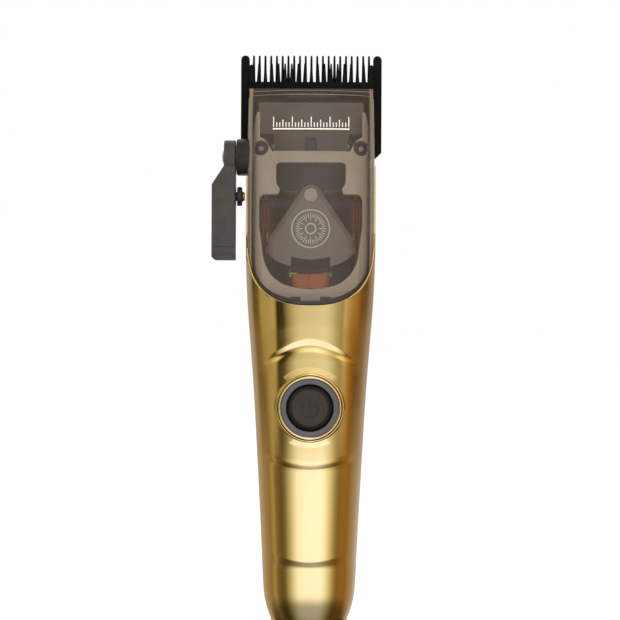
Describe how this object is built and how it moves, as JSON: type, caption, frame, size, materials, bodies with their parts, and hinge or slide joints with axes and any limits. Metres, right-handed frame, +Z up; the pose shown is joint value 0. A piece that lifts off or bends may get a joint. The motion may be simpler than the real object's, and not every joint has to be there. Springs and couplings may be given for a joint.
{
  "type": "hair clipper",
  "caption": "Cordless hair clipper with a gold metal casing, a smoked see-through lid over its magnetic motor, a wide black comb blade, a side taper lever and a round power button.",
  "frame": {"origin": "centre of the flat foot at the casing's lower end", "axes": "+Z up the casing towards the blade tips, -Y out of the front, where the lid and the button are, -X towards the taper lever"},
  "size_m": [0.0549, 0.0352, 0.188],
  "materials": {
    "gold": "polished gold-plated zinc casing",
    "gold_bright": "bright gold bezel",
    "smoked_cover": "see-through smoked brown-grey polycarbonate",
    "chassis_plastic": "light grey moulded nylon",
    "steel": "bright steel",
    "plate_steel": "cast armature plate, satin",
    "dark_steel": "dark laminated steel and magnets",
    "blade_black": "black carbon-coated ground steel",
    "lever_black": "dark polished lever",
    "black_plastic": "black moulded plastic",
    "copper": "enamelled copper wire",
    "red": "red enamelled wire",
    "button_dark": "dark satin button",
    "ring_grey": "blue-grey light ring",
    "board_green": "green circuit board",
    "cell_wrap": "blue cell wrap"
  },
  "bodies": {
    "housing": {"base_cap": "gold", "front_housing": "gold", "rear_housing": "gold", "lid": "smoked_cover", "chassis": "chassis_plastic", "chassis_screw_left": "steel", "chassis_screw_right": "steel", "armature_pin": "steel", "stator_core": "dark_steel", "coil_bobbin": "black_plastic", "coil_winding": "copper", "centring_spring_left": "red", "centring_spring_right": "red", "head_frame": "black_plastic", "lever_boss": "lever_black", "button_bezel": "gold_bright", "led_ring": "ring_grey", "circuit_board": "board_green", "tactile_switch": "black_plastic", "battery": "cell_wrap", "battery_lead_positive": "red", "battery_lead_negative": "black_plastic", "motor_lead_left": "red", "motor_lead_right": "black_plastic", "charging_port": "steel", "charging_contact": "black_plastic", "rear_screw_lower_left": "steel", "rear_screw_lower_right": "steel", "rear_screw_upper_left": "steel", "rear_screw_upper_right": "steel"},
    "armature": {"armature_plate": "plate_steel", "drive_arm": "black_plastic", "drive_tip": "steel", "armature_magnet_left": "dark_steel", "armature_magnet_right": "dark_steel"},
    "cutter": {"cutter": "blade_black", "cutter_guide": "black_plastic"},
    "blade_carrier": {"blade_carrier": "black_plastic", "fixed_blade": "blade_black", "blade_screw_left": "steel", "blade_screw_right": "steel"},
    "taper_lever": {"taper_lever": "lever_black", "lever_cam_shaft": "steel", "lever_screw": "steel"},
    "detent_plunger": {"detent_plunger": "lever_black"},
    "power_button": {"power_button": "button_dark"}
  },
  "joints": [
    {"name": "taper_lever_turn", "type": "hinge", "parent": "housing", "child": "taper_lever", "pos_m": [-0.024, -0.001, 0.154], "axis": [-1, 0, 0], "range_deg": [0, 70]},
    {"name": "blade_carrier_slide", "type": "slide", "parent": "housing", "child": "blade_carrier", "axis": [0, 0, -1], "range_m": [0, 0.0024]},
    {"name": "detent_slide", "type": "slide", "parent": "taper_lever", "child": "detent_plunger", "axis": [-1, 0, 0], "range_m": [0, 0.0006], "stiffness_N_per_m": 600},
    {"name": "armature_swing", "type": "hinge", "parent": "housing", "child": "armature", "pos_m": [0, -0.011, 0.1413], "axis": [0, 1, 0], "range_deg": [-3.5, 3.5], "stiffness_Nm_per_rad": 0.6, "deforming": ["centring_spring_left", "centring_spring_right"]},
    {"name": "cutter_slide", "type": "slide", "parent": "housing", "child": "cutter", "axis": [1, 0, 0], "range_m": [-0.00103, 0.00103]},
    {"name": "power_button_press", "type": "slide", "parent": "housing", "child": "power_button", "axis": [0, 1, 0], "range_m": [0, 0.0006], "stiffness_N_per_m": 1500}
  ],
  "couplings": [
    {"joint": "blade_carrier_slide", "follows": "taper_lever_turn", "m_per_rad": 0.0019644},
    {"joint": "cutter_slide", "follows": "armature_swing", "m_per_rad": 0.0167}
  ]
}
